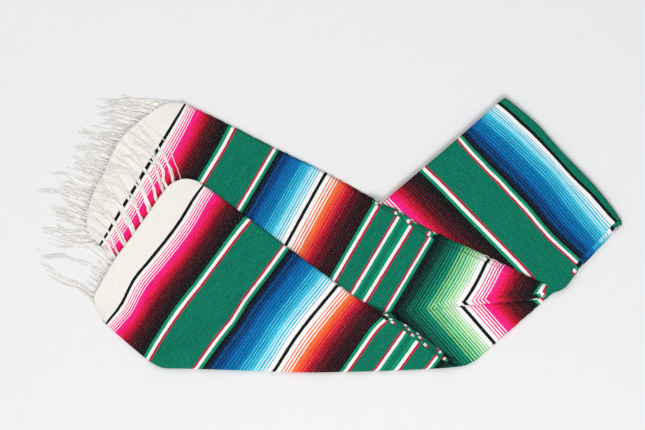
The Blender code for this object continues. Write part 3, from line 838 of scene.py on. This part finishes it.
@dataclass
class Ply:
    """One ply of a run, from the top (0) to the lowest (3), as a sheet."""

    run: Run
    number: int

    def steps(self) -> Point:
        """Steps of the ply's grid along and across, in mm."""
        return self.run.coarse if self.number else self.run.fine

    def grid(self) -> bmesh.types.BMesh:
        """Lay a flat grid in the cloth's own measures.

        Returns:
            It, with x along and y across in mm, and both in metres as its UV map.
        """
        first, last = self.run.span()
        length, width = last - first, STRIP_WIDTH
        if self.number == 0:
            width += math.pi * CREASE_RADIUS + FLAP
        elif self.number == PLIES - 1:
            width -= CREASE_RADIUS + FLAP - FLAP_LAP
        along, across = self.steps()
        bm = bmesh.new()
        bmesh.ops.create_grid(bm, x_segments=round(length / along),
                              y_segments=round(width / across), size=0.5)
        bmesh.ops.scale(bm, verts=bm.verts, vec=(length, width, 1.0))
        bmesh.ops.translate(bm, verts=bm.verts, vec=((first + last) / 2, width / 2, 0.0))
        uv = bm.loops.layers.uv.new("cloth")
        for face in bm.faces:
            for loop in face.loops:
                loop[uv].uv = (loop.vert.co.x * MM, loop.vert.co.y * MM)
        return bm

    def build(self) -> bmesh.types.BMesh:
        """Put the ply in place.

        Returns:
            Its sheet in mm, the outer face up.
        """
        run = self.run
        bm = self.grid()
        cloth = np.array([vert.co[:2] for vert in bm.verts])
        along, across, height = self.laid(*cloth.T)
        places = ground = run.plan(along, across)
        if run.fold is not None:
            past, way = run.fold.beyond(places)
            ground = places - np.maximum(past, 0.0)[:, None] * way
        level = run.base(ground) + height
        if self.number == 0:
            level = level + run.lift(ground) * smoothstep((height - RUN / 2) / (RUN / 2))
        rolled = np.ones(len(cloth), dtype=bool)
        if run.fold is not None:
            places, level, rolled = self.roll(places, level)
        places, keep = self.cut(places, cloth)
        for vert, place, z in zip(bm.verts, places, level):
            vert.co = (place[0], place[1], max(z, FLOOR_GAP))
        lost = [vert for vert, kept in zip(bm.verts, keep & rolled) if not kept]
        bmesh.ops.delete(bm, geom=lost, context="VERTS")
        if run.mirrored():
            bmesh.ops.reverse_faces(bm, faces=bm.faces)
        return bm

    def laid(self, along: Array, across: Array) -> tuple[Array, Array, Array]:
        """Let the selvedge stray, and take the top ply round the crease and back below.

        Args:
            along: mm along the cloth.
            across: mm in from the selvedge.

        Returns:
            Both as they lie, and the heights above what the run lies on.
        """
        height = np.full(len(along), RUN - self.number * PITCH)
        if self.number:
            out, slip = self.run.edge(self.number, along)
            fade = 1 - across / STRIP_WIDTH
            across = np.minimum(across - out * fade, STRIP_WIDTH - self.number * CREASE_STEP)
            return along + slip * fade, across, height
        flat = STRIP_WIDTH - CREASE_RADIUS
        arc = np.clip((across - flat) / CREASE_RADIUS, 0.0, math.pi)
        back = np.maximum(across - flat - math.pi * CREASE_RADIUS, 0.0)
        height = np.where(across > flat, RUN - CREASE_RADIUS * (1 - np.cos(arc)), height)
        across = np.where(across > flat, flat + CREASE_RADIUS * np.sin(arc) - back, across)
        stray = sum(size * np.sin(along * pace + start) for size, pace, start in EDGE_WAVES)
        stray = stray * smoothstep(along / EDGE_START)
        return along, across - stray * smoothstep(1 - across / EDGE_REACH), height

    def roll(self, places: Array, level: Array) -> tuple[Array, Array, Array]:
        """Take what lies past the middle of the run's own fold round it.

        Args:
            places: (n, 2) places in plan.
            level: their heights.

        Returns:
            Both after that, and which of them are kept.
        """
        fold = self.run.fold
        past, out = fold.beyond(places)
        level = fold.pressed(level, past)
        middle = fold.floor + fold.radius
        radius = level - middle
        rolled = (past > 0.0) & (radius > ROLL_LEAST)
        safe = np.where(rolled, radius, 1.0)
        angle = np.where(rolled, past / safe, 0.0)
        held = np.minimum(angle, math.pi)
        shift = np.where(rolled, safe * np.sin(held) - past, 0.0)
        level = np.where(rolled, middle + safe * np.cos(held), level)
        keep = (past <= 0.0) | (rolled & (angle < math.pi + ROLL_LAP))
        return places + shift[:, None] * out, level, keep

    def cut(self, places: Array, cloth: Array) -> tuple[Array, Array]:
        """Stop the ply at other runs' folds, and a little under the runs that cover it.

        Args:
            places: (n, 2) places in plan.
            cloth: the same in the cloth's own measures.

        Returns:
            The places, brought back to those folds, and which of them are kept.
        """
        across = cloth[:, 1]
        flap = (across > STRIP_WIDTH - CREASE_RADIUS) & (self.number == 0)
        keep = ~(flap & (cloth[:, 0] < FLAP_START))
        for fold in self.run.cut_folds:
            past, way = fold.beyond(places)
            tail = fold.tail * smoothstep((places[:, 0] - TAIL_START) / TAIL_RISE)
            over = past - (FOLD_GAP + tail)
            keep &= over < np.where(flap, 0.0, max(self.steps()))
            places = places - np.maximum(over, 0.0)[:, None] * way
        if self.number < PLIES - 1:
            seen_below = (across > STRIP_WIDTH - SEEN_BELOW) & (self.number == 0)
            for upper in self.run.above:
                keep &= (inside_by(places, upper.ring) < LAP) | seen_below
        return places, keep


# ---------------------------------------------------------------- stripes in the plan

FRONT_STATIONS = [
    (0.0, [(-238, 95), (-255, 72), (-280, 31), (-302, 0), (-339, -46), (-366, -78), (-380, -102),
           (-395, -132), (-424, -169)]),
    (100.3, [(-151, 30), (-179, -4), (-240, -86), (-286, -145), (-323, -200), (-344, -236)]),
    (186.4, [(-82, -21), (-115, -66), (-158, -123), (-182, -161), (-212, -199), (-250, -252)]),
    (296.0, [(17, -94), (-54, -182), (-103, -257)]),
    (410.6, [(108, -160), (89, -179), (60, -220)]),
    (454.1, [(145, -182), (94, -254)]),
    (482.0, [(170, -201), (130, -257)]),
    (525.2, [(207, -229), (188, -254)]),
    (590.0, [(257, -262), (240, -290)]),
]
BACK_STATIONS = [
    (0.0, [(-273, 250), (-435, -19)]),
    (100.3, [(-181, 205), (-204, 162), (-240, 103)]),
    (186.4, [(-102, 164), (-170, 50)]),
    (296.0, [(-6, 117), (-25, 84), (-81, -18)]),
    (410.6, [(93, 57), (10, -85)]),
    (454.1, [(133, 36), (44, -112)]),
    (482.0, [(157, 18), (67, -128)]),
    (525.2, [(193, -3), (109, -144)]),
    (644.3, [(300, -50), (281, -89), (253, -135)]),
    (763.0, [(408, -96), (364, -170)]),
    (800.0, [(440, -110), (398, -184)]),
]
TURNED_STATIONS = [
    (600.0, [(286, -222), (61, 17)]),
    (644.3, [(320, -192), (94, 46)]),
    (763.0, [(408, -114), (374, -70), (326, -20), (268, 39), (219, 90), (183, 125)]),
    (807.0, [(446, -93), (421, -62), (397, -36), (375, -13), (330, 36), (262, 107), (218, 152)]),
    (851.0, [(473, -52), (459, -39), (440, -22), (421, -4), (402, 17), (383, 40), (364, 61),
             (345, 81), (326, 102), (307, 120), (288, 140), (269, 160), (252, 180)]),
    (925.0, [(519, -2), (501, 20), (484, 41), (467, 62), (444, 92), (421, 120), (386, 154),
             (353, 186), (325, 210), (298, 232)]),
    (960.8, [(547, 26), (535, 38), (516, 60), (497, 81), (478, 99), (459, 118), (440, 139),
             (421, 160), (402, 180), (383, 199), (364, 216), (345, 234), (324, 251)]),
    (980.3, [(563, 29), (537, 63), (504, 104), (447, 163), (401, 214), (367, 244), (339, 266)]),
    (1000.0, [(578, 43), (552, 76), (518, 118), (461, 178), (415, 229), (381, 259),
              (354, 280)]),
]
UNDER_STATIONS = [
    (110.0, [(-88, -560), (-302, -313)]),
    (495.0, [(203, -303), (-11, -56)]),
    (525.2, [(226, -284), (12, -37)]),
    (644.3, [(316, -205), (101, 42)]),
    (763.0, [(405, -127), (190, 120)]),
    (849.7, [(470, -69), (255, 178)]),
    (980.0, [(560, 25), (336, 263)]),
]

# Second, third and lowest ply at the selvedge: (mm along the cloth, out, slipped along).
LEVEL_EDGES = [[(0, out, 0), (1000, out, 0)] for out in (0.5, 1.0, 1.5)]
FRONT_EDGES = [
    [(0, 0.4, 0), (340, 0.8, 4), (380, 3, 10), (410, 5, 14), (482, 5.5, 15), (530, 6, 14)],
    [(0, 0.8, 0), (340, 1.2, 2), (380, 5, 6), (410, 8, 8), (454, 8.5, 4), (482, 10, 0),
     (530, 12, -1)],
    [(0, 1.2, 0), (340, 1.6, 0), (380, 6, -3), (410, 10.5, -5), (454, 11.5, -6),
     (530, 13, -7)],
]
BACK_EDGES = [
    [(0, 0.4, 0), (300, 1, 0), (350, 3, -1), (410, 5, -3), (440, 5, -8), (482, 8, -8),
     (525, 8.5, -6), (600, 8, 1), (644, 7, 2), (700, 5, 1), (763, 3, 0)],
    [(0, 0.8, 0), (300, 2, 0), (350, 4, 2), (410, 7, 3), (440, 7, 4), (482, 10, 4),
     (525, 11, 3), (600, 10, -3), (644, 9, -3), (700, 6, -2), (763, 4, 4)],
    [(0, 1.2, 0), (300, 3, 0), (350, 5, -3), (410, 8, -6), (440, 9, -3), (482, 11.5, -3),
     (525, 12.5, 0), (600, 11, 3), (644, 10, 4), (700, 7, 3), (763, 5, -4)],
]
TURNED_EDGES = [
    [(640, 0.5, 0), (763, 2, -4), (800, 5, -12), (849, 8, -14), (920, 9, -14),
     (960, 9, -14), (1003, 3, -8)],
    [(640, 1, 0), (763, 3, 2), (849, 9, -6), (960, 10, -4), (1003, 4, 0)],
    [(640, 1.5, 0), (763, 4, 4), (849, 10, 3), (960, 11, 4), (1003, 5, 2)],
]

# Soft ridges of the top plies: (places that one passes, half its width, its rise).
FRONT_RELIEF = [
    ([(-402, -76), (-374, -88), (-318, -104), (-250, -120), (-174, -129), (-112, -126)], 24, 1.1),
    ([(-338, 26), (-300, -14), (-262, -40)], 20, 0.7),
    ([(-60, -120), (12, -170), (70, -206)], 26, 0.6),
]
BACK_RELIEF = [
    ([(-440, 60), (-396, 52), (-330, 40), (-272, 44)], 24, 0.9),
    ([(-340, 196), (-286, 160), (-214, 120)], 22, 0.7),
    ([(-40, 60), (40, 16), (118, -34), (190, -84)], 28, 0.6),
]
TURNED_RELIEF = [
    ([(462, 8), (420, -26), (384, -58)], 20, 0.8),
    ([(392, 196), (330, 140), (276, 104)], 26, 0.7),
]


def runs_of_cloth() -> list[Run]:
    """Lay out the serape.

    Returns:
        Its four runs, from the floor up, each knowing what lies below and above it.
    """
    whole_bottom = BOTTOM_FOLD + BOTTOM_FOLD_TAIL
    bottom = Fold(whole_bottom, 0.0, tail=RUN)
    far = Fold(FAR_FOLD[::-1], 0.0)
    chevron = Fold(CHEVRON_FOLD, RUN, radius=PRESSED)
    chevron_cut = Fold(CHEVRON_FOLD + CHEVRON_FOLD_TAIL, RUN, radius=PRESSED)
    under = Run("under_cloth", "under_run", UNDER_STATIONS,
                [UNDER_CREASE[::-1], FAR_FOLD, UNDER_SELVEDGE, whole_bottom[::-1]],
                flat=(0.322, 0.87), crease=UNDER_CREASE, cut_folds=[bottom, far])
    turned = Run("turned_cloth", "turned_run", TURNED_STATIONS,
                 [TURNED_CREASE[::-1], FAR_FOLD, TURNED_SELVEDGE, CHEVRON_FOLD[::-1]],
                 flat=(0.322, 0.403), crease=TURNED_CREASE, fold=far, edges=TURNED_EDGES,
                 below=[under], cut_folds=[chevron_cut], relief=TURNED_RELIEF)
    back = Run("back_cloth", "back_run", BACK_STATIONS,
               [BACK_SELVEDGE, CHEVRON_FOLD[::-1], BACK_CREASE[::-1], BACK_END[::-1]],
               flat=(0.322, 0.86), crease=BACK_CREASE, fold=chevron, end=BACK_END,
               edges=BACK_EDGES, below=[under, turned], relief=BACK_RELIEF)
    front = Run("front_cloth", "front_run", FRONT_STATIONS,
                [FRONT_SELVEDGE, BOTTOM_FOLD[::-1], FRONT_CREASE[::-1], FRONT_END[::-1]],
                flat=(0.322, 0.65), crease=FRONT_CREASE, fold=bottom, end=FRONT_END,
                edges=FRONT_EDGES, below=[under, turned, back], relief=FRONT_RELIEF)
    runs = [under, turned, back, front]
    for rank, run in enumerate(runs):
        run.above = runs[rank + 1:]
    return runs


# ---------------------------------------------------------------- the cloth's pieces

def mesh_from(bm: bmesh.types.BMesh, name: str) -> bpy.types.Mesh:
    """Turn a bmesh into a mesh.

    Args:
        bm: the bmesh, which is freed.
        name: the mesh's name.

    Returns:
        The mesh.
    """
    mesh = bpy.data.meshes.new(name)
    bm.to_mesh(mesh)
    bm.free()
    return mesh


def placed(name: str, data: bpy.types.ID) -> bpy.types.Object:
    """Put new data into the scene.

    Args:
        name: the object's name.
        data: its data.

    Returns:
        The object.
    """
    made = bpy.data.objects.new(name, data)
    bpy.context.scene.collection.objects.link(made)
    return made


def cut_area(mesh: bpy.types.Mesh) -> float:
    """Measure a sheet in the cloth's own measures.

    Args:
        mesh: the sheet.

    Returns:
        Its area in square metres.
    """
    uv = mesh.uv_layers["cloth"].data
    total = 0.0
    for face in mesh.polygons:
        corners = [uv[i].uv for i in face.loop_indices]
        total += abs(sum(a.x * b.y - b.x * a.y
                         for a, b in zip(corners, corners[1:] + corners[:1]))) / 2
    return total


@dataclass
class ClothPiece:
    """The sheets of one run as objects."""

    run: Run
    weave: bpy.types.Material

    def top(self) -> bpy.types.Object:
        """Make the ply that shows.

        Returns:
            It, with the ply that it turns into below the crease.
        """
        piece = self.finish(Ply(self.run, 0).build(), self.run.name)
        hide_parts(self.run.node)
        return piece

    def lower(self) -> bpy.types.Object:
        """Make the plies below the top one.

        Returns:
            All of them in one piece.
        """
        whole = bmesh.new()
        whole.loops.layers.uv.new("cloth")
        for number in range(1, PLIES):
            mesh = mesh_from(Ply(self.run, number).build(), f"{self.run.name}_{number}")
            whole.from_mesh(mesh)
            bpy.data.meshes.remove(mesh)
        piece = self.finish(whole, self.run.name.replace("cloth", "lower_plies"))
        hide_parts("hidden_layers")
        return piece

    def finish(self, bm: bmesh.types.BMesh, name: str) -> bpy.types.Object:
        """Give a sheet its place in metres, its thickness, its weave and its body.

        Args:
            bm: the sheet, in mm, which is freed.
            name: the piece's name.

        Returns:
            The piece.
        """
        bmesh.ops.translate(bm, verts=bm.verts, vec=Vector((*LAYOUT_SHIFT, 0.0)))
        bmesh.ops.scale(bm, verts=bm.verts, vec=(MM, MM, MM))
        mesh = mesh_from(bm, name)
        piece = placed(name, mesh)
        mesh.materials.append(self.weave)
        mesh.shade_smooth()
        wall = piece.modifiers.new("thickness", "SOLIDIFY")
        wall.thickness = PLY * MM
        wall.offset = -1.0
        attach(piece, "root")
        LOG.info("%s: %d faces, cut %.3f m2", name, len(mesh.polygons), cut_area(mesh))
        return piece


# ---------------------------------------------------------------- fringe

# Guides of the strands, from the selvedge side to the crease side: share = where a strand
# starts along the woven end; then the three places (x, y) that it passes.
BACK_GUIDES = [
    (0.12, (-350, 257), (-390, 260), (-434, 257)),
    (0.20, (-375, 240), (-410, 243), (-450, 239)),
    (0.30, (-398, 219), (-425, 224), (-456, 224)),
    (0.40, (-420, 190), (-447, 197), (-478, 203)),
    (0.50, (-437, 158), (-463, 166), (-491, 176)),
    (0.60, (-452, 126), (-479, 138), (-507, 148)),
    (0.70, (-470, 94), (-500, 107), (-531, 115)),
    (0.80, (-482, 60), (-513, 72), (-546, 82)),
    (0.90, (-484, 20), (-513, 28), (-543, 38)),
    (0.97, (-466, -18), (-498, -14), (-531, -8)),
]
FRONT_GUIDES = [
    (0.11, (-294, 149), (-316, 184), (-347, 214)),
    (0.20, (-322, 127), (-346, 165), (-380, 190)),
    (0.35, (-358, 84), (-385, 117), (-423, 140)),
    (0.50, (-393, 32), (-422, 65), (-460, 88)),
    (0.60, (-417, 2), (-447, 30), (-485, 48)),
    (0.68, (-440, -32), (-474, -14), (-512, -4)),
    (0.745, (-443, -67), (-490, -45), (-556, -37)),
    (0.84, (-481, -92), (-516, -76), (-556, -42)),
    (0.88, (-478, -100), (-512, -90), (-540, -76)),
]
PULL = (0.35, 0.8, 0.95)      # how far a strand is drawn from its own guide to its lock's
FULL_LENGTH = 0.6             # a lock shorter than this is a longer one that is cut off
ROOT_IN, ROOT_OUT = 4.0, 2.0  # a strand starts this far in the cloth and leaves it this far out
WAVES = ((0.4, 1.3, 5.0, 11.0), (0.2, 0.7, 2.5, 4.0))   # heights from, to, lengths from, to
PILE = 2.6                    # strands lie up to this high on one another
CLEAR = 0.15                  # and this far off what is under them


@dataclass(frozen=True)
class Lock:
    """Strands that run together.

    share is where the lock starts along the woven end, length its part of the guide's
    length, spread the part of the end that the strands start from, and loose how far
    in mm their tips part.
    """

    share: float
    strands: int
    length: float
    spread: float
    loose: float


def back_locks() -> list[Lock]:
    """Lay out the back fringe.

    Returns:
        Long locks with shorter ones between them, all along the end.
    """
    rng = random.Random(5)
    long = [(0.13, 8, 1.0), (0.19, 7, 1.0), (0.26, 5, 0.85), (0.42, 8, 1.04), (0.51, 8, 0.96),
            (0.68, 10, 1.06), (0.78, 10, 1.06), (0.86, 6, 0.84), (0.94, 8, 1.06)]
    locks = [Lock(share, count, length, 0.020, 5.0) for share, count, length in long]
    for i in range(34):
        share = 0.10 + 0.88 * i / 33
        locks.append(Lock(share, 5, rng.uniform(0.45, 0.80), 0.014, rng.uniform(4.0, 9.0)))
        locks.append(Lock(share, 3, rng.uniform(0.25, 0.42), 0.014, rng.uniform(2.0, 6.0)))
    return locks


def front_locks() -> list[Lock]:
    """Lay out the front fringe.

    Returns:
        Thin locks that cross the piece below, a few of them dense, and two long ones.
    """
    rng = random.Random(9)
    locks = [Lock(0.11, 2, 1.15, 0.002, 3.0), Lock(0.15, 9, 1.05, 0.008, 4.0)]
    for share in (0.19, 0.215, 0.27, 0.33, 0.343, 0.40, 0.412, 0.47, 0.482, 0.54, 0.55, 0.60,
                  0.63, 0.67, 0.69):
        locks.append(Lock(share, rng.choice((5, 7, 8, 10)), rng.uniform(0.90, 1.30),
                          rng.uniform(0.004, 0.012), rng.uniform(9.0, 20.0)))
    locks += [Lock(0.745, 8, 1.0, 0.010, 5.0), Lock(0.84, 7, 1.0, 0.010, 4.0),
              Lock(0.88, 3, 0.9, 0.010, 5.0)]
    locks += [Lock(0.71 + 0.18 * i / 7, 3, 0.22, 0.012, 3.0) for i in range(8)]
    return locks


@dataclass
class Fringe:
    """The warp ends beyond one woven end, in locks of fine two-ply strands."""

    name: str
    node: str
    run: Run                     # the cloth that the strands end
    guides: list
    locks: list[Lock]
    seed: int
    over: Run | None = None      # the run on which the strands lie first
    thick: float = 0.70          # radius of a strand, mm
    thin: float = 0.45           # the same at its tip, as a share
    steps: int = 30              # stretches of a strand, and a little more

    def support(self, places: Array) -> Array:
        """Find what lies under the strands.

        Args:
            places: (n, 2) points.

        Returns:
            Its height there.
        """
        if self.over is None:
            return np.zeros(len(places))
        return RUN * smoothstep((inside_by(places, self.over.ring) + 12.0) / 14.0)

    def guide(self, share: float) -> list[Vector]:
        """Find the way of a strand between the two guides beside it.

        Args:
            share: where the strand starts along the woven end.

        Returns:
            The three places that it passes.
        """
        marks, *ways = zip(*self.guides)
        return [Vector([float(np.interp(share, marks, axis)) for axis in zip(*way)])
                for way in ways]

    def path(self, lock: Lock, spot: float, stray: Vector) -> Array:
        """Find the way of a strand in plan, before its own waves.

        Args:
            lock: the lock that it is in.
            spot: where it starts, as a share of the woven end.
            stray: which way it leaves its lock.

        Returns:
            An array of (x, y) rows.
        """
        end = [Vector(place) for place in smooth_line(self.run.end, END_STEP)]
        last = len(end) - 1
        i = min(int(spot * last), last - 1)
        root = end[i].lerp(end[i + 1], spot * last - i)
        along = (end[min(i + 4, last)] - end[max(i - 4, 0)]).normalized()
        out = Vector((along.y, -along.x))
        near, middle, tip = [own.lerp(shared, pull) for own, shared, pull
                             in zip(self.guide(spot), self.guide(lock.share), PULL)]
        tip = root + (tip + stray * lock.loose - root) * max(lock.length, FULL_LENGTH)
        middle = middle + stray * lock.loose * PULL[0]
        return smooth_line([tuple(place) for place in (root - out * ROOT_IN, root + out * ROOT_OUT,
                                                       near, middle, tip)], 3.0)

    def strand(self, rng: random.Random, lock: Lock, sway: tuple) -> Array:
        """Lay one strand.

        Args:
            rng: the fringe's random numbers.
            lock: the lock that it is in.
            sway: height, length and start of the lock's waves.

        Returns:
            (x, y, z) rows in mm, from the cloth to the tip.
        """
        spot = min(max(lock.share + rng.uniform(-1, 1) * lock.spread, 0.01), 0.99)
        path = self.path(lock, spot, Vector((rng.gauss(0, 1), rng.gauss(0, 1))))
        reach = lengths(path)
        share = rng.uniform(0.80, 1.05) * min(lock.length / FULL_LENGTH, 1.0)
        at = np.linspace(0.0, share * reach[-1], self.steps)
        xy = places_at(path, reach, at)
        height, pace, phase = sway
        wave = height * np.sin(at / pace + phase + rng.uniform(-0.5, 0.5))
        for low, high, short, long in WAVES:
            wave += rng.uniform(low, high) * np.sin(at / rng.uniform(short, long)
                                                    + rng.uniform(0, 6))
        # Known fault: a tip well past the end of its path has no way, so it isn't a number.
        way = np.gradient(xy, axis=0)
        way /= np.hypot(*way.T)[:, None]
        grow = smoothstep(at / 22.0)[:, None]
        xy = xy + np.column_stack([-way[:, 1], way[:, 0]]) * wave[:, None] * grow
        pile = rng.uniform(0.0, 1.0) ** 1.5 * PILE
        ground = self.support(xy) + self.thick
        z = ground + CLEAR + pile * (1 - 0.6 * at / reach[-1])
        start = self.run.base(xy[:1])[0] + (rng.choice((0, 1, 2, 3, 3.6)) + 0.5) * PITCH
        drop = smoothstep(at / 20.0)
        return np.column_stack([xy, np.maximum(z * drop + start * (1 - drop), ground + 0.1)])

    def build(self, yarn: bpy.types.Material) -> bpy.types.Object:
        """Make all strands as one mesh, with a tone for each.

        Args:
            yarn: their material.

        Returns:
            The piece.
        """
        rng = random.Random(self.seed)
        curve = bpy.data.curves.new(self.name, "CURVE")
        curve.dimensions = "3D"
        curve.bevel_depth = self.thick * MM
        curve.bevel_resolution = 1
        curve.use_fill_caps = True
        for lock in self.locks:
            sway = (rng.uniform(0.5, 2.4), rng.uniform(7.0, 15.0), rng.uniform(0, math.tau))
            for _ in range(lock.strands):
                places = self.strand(rng, lock, sway)
                spline = curve.splines.new("POLY")
                spline.points.add(len(places) - 1)
                for k, (point, (x, y, z)) in enumerate(zip(spline.points, places)):
                    point.co = ((x + LAYOUT_SHIFT[0]) * MM, (y + LAYOUT_SHIFT[1]) * MM,
                                z * MM, 1.0)
                    tapered = max(0.0, k / self.steps - 0.5) * 2
                    point.radius = 1.0 - (1.0 - self.thin) * tapered
        mesh = mesh_of_curve(curve, self.name, "yarn")
        strands = sum(lock.strands for lock in self.locks)
        tones = [rng.random() ** 2 * 0.8 for _ in range(strands)]
        tone = mesh.attributes.new("tone", "FLOAT", "POINT")
        tone.data.foreach_set("value", np.repeat(tones, len(mesh.vertices) // strands))
        mesh.materials.clear()
        mesh.materials.append(yarn)
        mesh.shade_smooth()
        piece = placed(self.name, mesh)
        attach(piece, "root")
        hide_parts(self.node)
        LOG.info("%s: %d strands, %d faces", self.name, strands, len(mesh.polygons))
        return piece


def mesh_of_curve(curve: bpy.types.Curve, name: str, uv_name: str) -> bpy.types.Mesh:
    """Turn a bevelled curve into a mesh.

    Args:
        curve: the curve.
        name: the mesh's name.
        uv_name: the name of its UV map, which runs along each strand.

    Returns:
        The mesh.
    """
    source = placed(name + "_curve", curve)
    graph = bpy.context.evaluated_depsgraph_get()
    mesh = bpy.data.meshes.new_from_object(source.evaluated_get(graph))
    bpy.data.objects.remove(source, do_unlink=True)
    mesh.name = name
    mesh.uv_layers[0].name = uv_name
    return mesh


# ---------------------------------------------------------------- studio

@dataclass(frozen=True)
class Studio:
    """A plain pale floor, soft light from above and a camera straight overhead."""

    view_middle: Point = (-15.2, 37.8)    # mm under the camera
    view_width: float = 1225.5            # mm across the picture
    view_level: float = 12.0              # height at which that width is measured, mm
    camera_height: float = 4.0            # m
    sensor: float = 36.0                  # width of the camera's sensor, mm
    floor_size: float = 6.0               # half the floor's side, m
    floor_color: Color = (0.915, 0.913, 0.911)
    floor_grain: float = 30.0             # scale of its unevenness, per metre
    floor_dark: float = 0.985             # its darker places, as a share of the colour
    sky_color: tuple = (0.97, 0.98, 1.0, 1.0)
    sky_strength: float = 0.51
    # Name, place in m, size in m, power in W: the key on the near side, the fill opposite.
    lamps: tuple = (("key", (0.4, -2.8, 3.2), 2.2, 100.0), ("fill", (-0.9, 1.6, 3.0), 3.0, 34.0))

    def build(self) -> None:
        """Make floor, lights and camera."""
        self.floor()
        self.lights()
        self.camera()

    def floor(self) -> None:
        """A wide plane just under the cloth."""
        bm = bmesh.new()
        bmesh.ops.create_grid(bm, x_segments=1, y_segments=1, size=self.floor_size)
        mesh = mesh_from(bm, "floor")
        floor = placed("floor", mesh)
        sheet = NodeSheet("floor")
        place = sheet.node("ShaderNodeTexCoord").outputs["Object"]
        color = sheet.mix(sheet.noise(place, self.floor_grain, 3.0),
                          linear(tuple(self.floor_dark * c for c in self.floor_color)),
                          linear(self.floor_color))
        mesh.materials.append(sheet.surface(color, roughness=0.75, specular=0.15))

    def lights(self) -> None:
        """A broad key, a weaker fill opposite, and a pale sky."""
        for name, place, size, power in self.lamps:
            lamp = bpy.data.lights.new(name, "AREA")
            lamp.shape = "DISK"
            lamp.size = size
            lamp.energy = power
            light = placed(name, lamp)
            light.location = place
            light.rotation_euler = (-Vector(place)).to_track_quat("-Z", "Y").to_euler()
        world = bpy.data.worlds.new("studio")
        world.use_nodes = True
        background = world.node_tree.nodes["Background"]
        background.inputs[0].default_value = self.sky_color
        background.inputs[1].default_value = self.sky_strength
        bpy.context.scene.world = world
        bpy.context.scene.view_settings.view_transform = "Standard"

    def camera(self) -> None:
        """A long lens straight above the middle of the view."""
        data = bpy.data.cameras.new("camera")
        data.sensor_width = self.sensor
        reach = self.camera_height - self.view_level * MM
        data.lens = self.sensor * reach / (self.view_width * MM)
        data.clip_end = 50.0
        camera = placed("camera", data)
        x, y = self.view_middle
        camera.location = (x * MM, y * MM, self.camera_height)
        bpy.context.scene.camera = camera


# ---------------------------------------------------------------- the whole piece

@dataclass
class Serape:
    """The folded serape: four runs of cloth and two fringes."""

    runs: list[Run]

    def build(self) -> None:
        """Make and dress every piece."""
        weave = StripedWeave().build()
        yarn = FringeYarn().build()
        *_, back, front = self.runs
        fringes = {
            back.name: Fringe("back_strands", "back_fringe", back, BACK_GUIDES, back_locks(),
                              seed=11).build(yarn),
            front.name: Fringe("front_strands", "front_fringe", front, FRONT_GUIDES,
                               front_locks(), seed=23, over=back).build(yarn),
        }
        for run in self.runs:
            piece = ClothPiece(run, weave)
            top = piece.top()
            lower = piece.lower()

    @staticmethod
    def declared(piece: bpy.types.Object, flat: Point) -> float:
        return min(cut_area(piece.data), flat[0] * flat[1])


def clear_scene() -> None:
    """Remove what Blender starts with, and keep the frame."""
    for obj in list(bpy.data.objects):
        if obj.name in ("Cube", "Light", "Camera"):
            bpy.data.objects.remove(obj, do_unlink=True)


def main() -> None:
    """Load the frame, build the serape and its studio, and note the sizes."""
    logging.basicConfig(level=logging.INFO, format="%(message)s")
    clear_scene()
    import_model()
    Serape(runs_of_cloth()).build()
    Studio().build()


if __name__ == "__main__":
    main()
